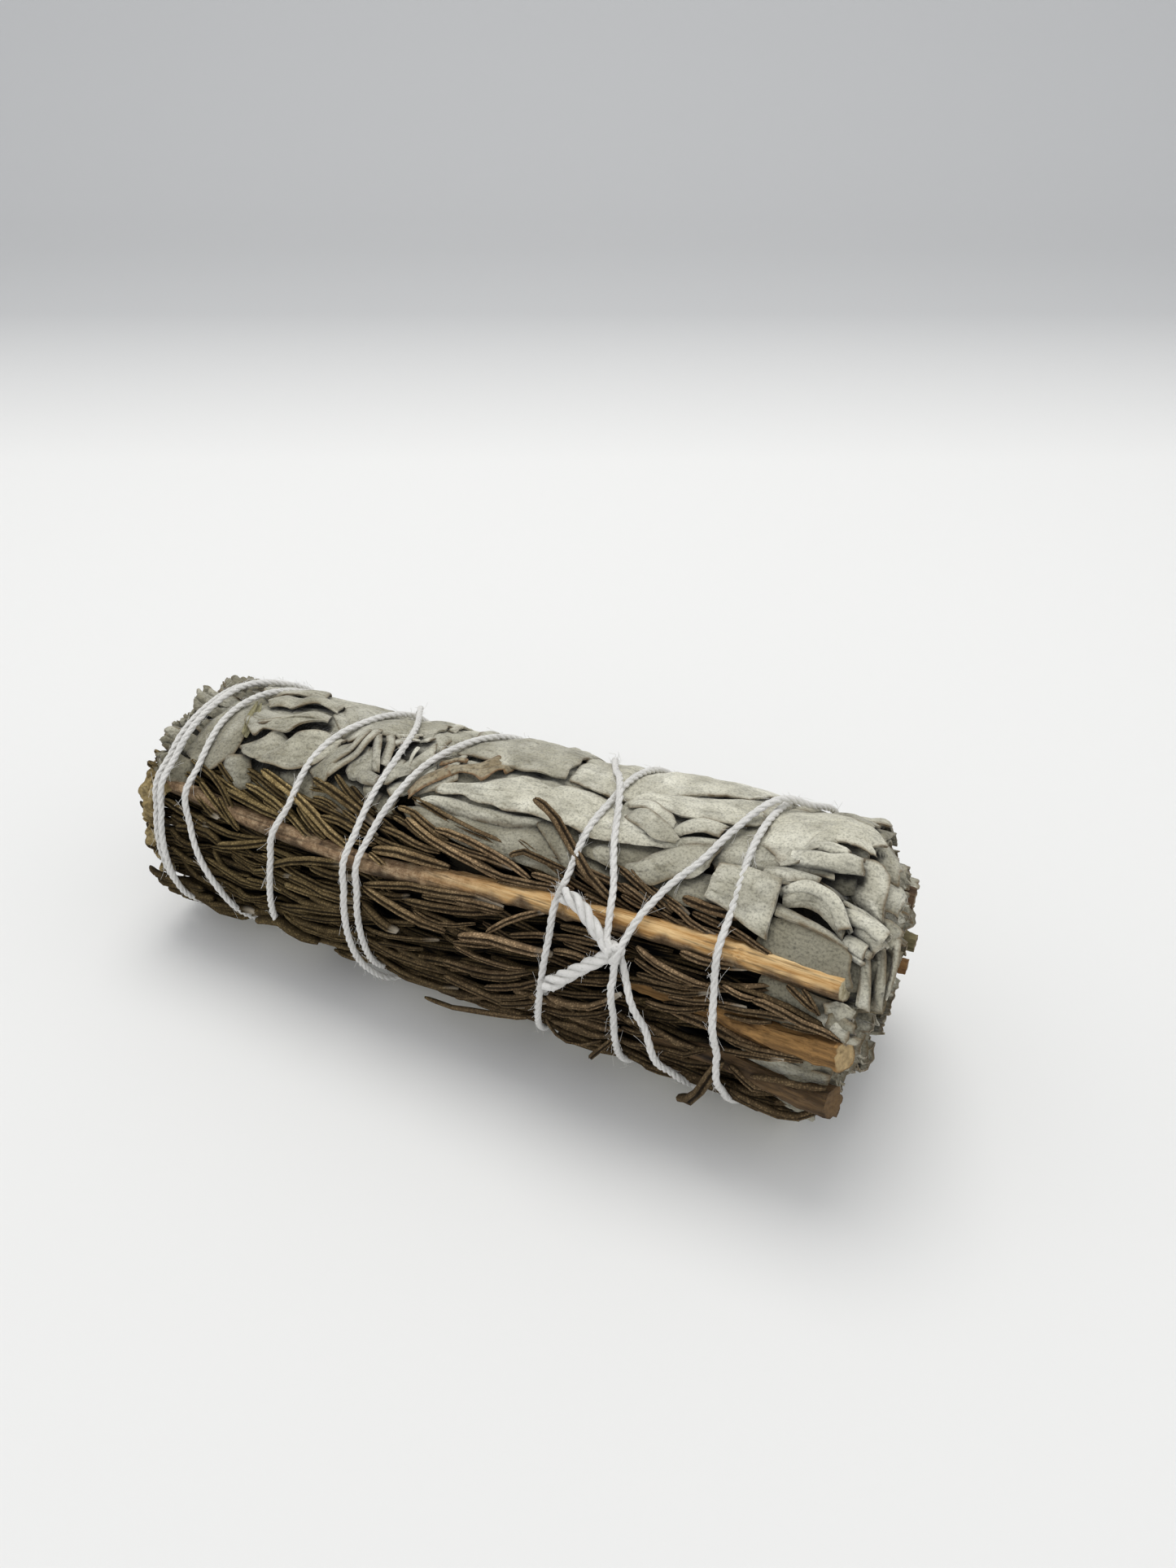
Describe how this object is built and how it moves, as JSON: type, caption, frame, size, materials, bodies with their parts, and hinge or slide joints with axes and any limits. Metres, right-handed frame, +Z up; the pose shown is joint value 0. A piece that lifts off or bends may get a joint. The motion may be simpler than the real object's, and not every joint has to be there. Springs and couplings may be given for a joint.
{
  "type": "tied herb bundle",
  "caption": "Tied herb bundle: a roll of dried sage leaves with rosemary sprigs along its front, wound and knotted with white cotton string.",
  "frame": {"origin": "centre of the bundle's footprint on the surface it lies on", "axes": "+X along the bundle towards the cut stems, -X towards the leaf tips, -Y towards the rosemary side and knot, +Z up"},
  "size_m": [0.1066, 0.0401, 0.039],
  "materials": {
    "sage_leaf": "matte",
    "sage_stem": "matte",
    "rosemary_needle": "matte",
    "rosemary_stem": "matte",
    "cotton": "matte"
  },
  "bodies": {
    "root": {"sage_leaf_roll": "sage_leaf", "sage_stem_olive": "sage_stem", "sage_stem_tan": "sage_stem", "sage_stem_dark": "sage_stem", "sage_stem_pale": "sage_stem", "rosemary_needles_a": "rosemary_needle", "rosemary_needles_b": "rosemary_needle", "rosemary_needles_c": "rosemary_needle", "rosemary_stem_a": "rosemary_stem", "rosemary_stem_b": "rosemary_stem", "rosemary_stem_c": "rosemary_stem", "cotton_string": "cotton"}
  },
  "joints": []
}
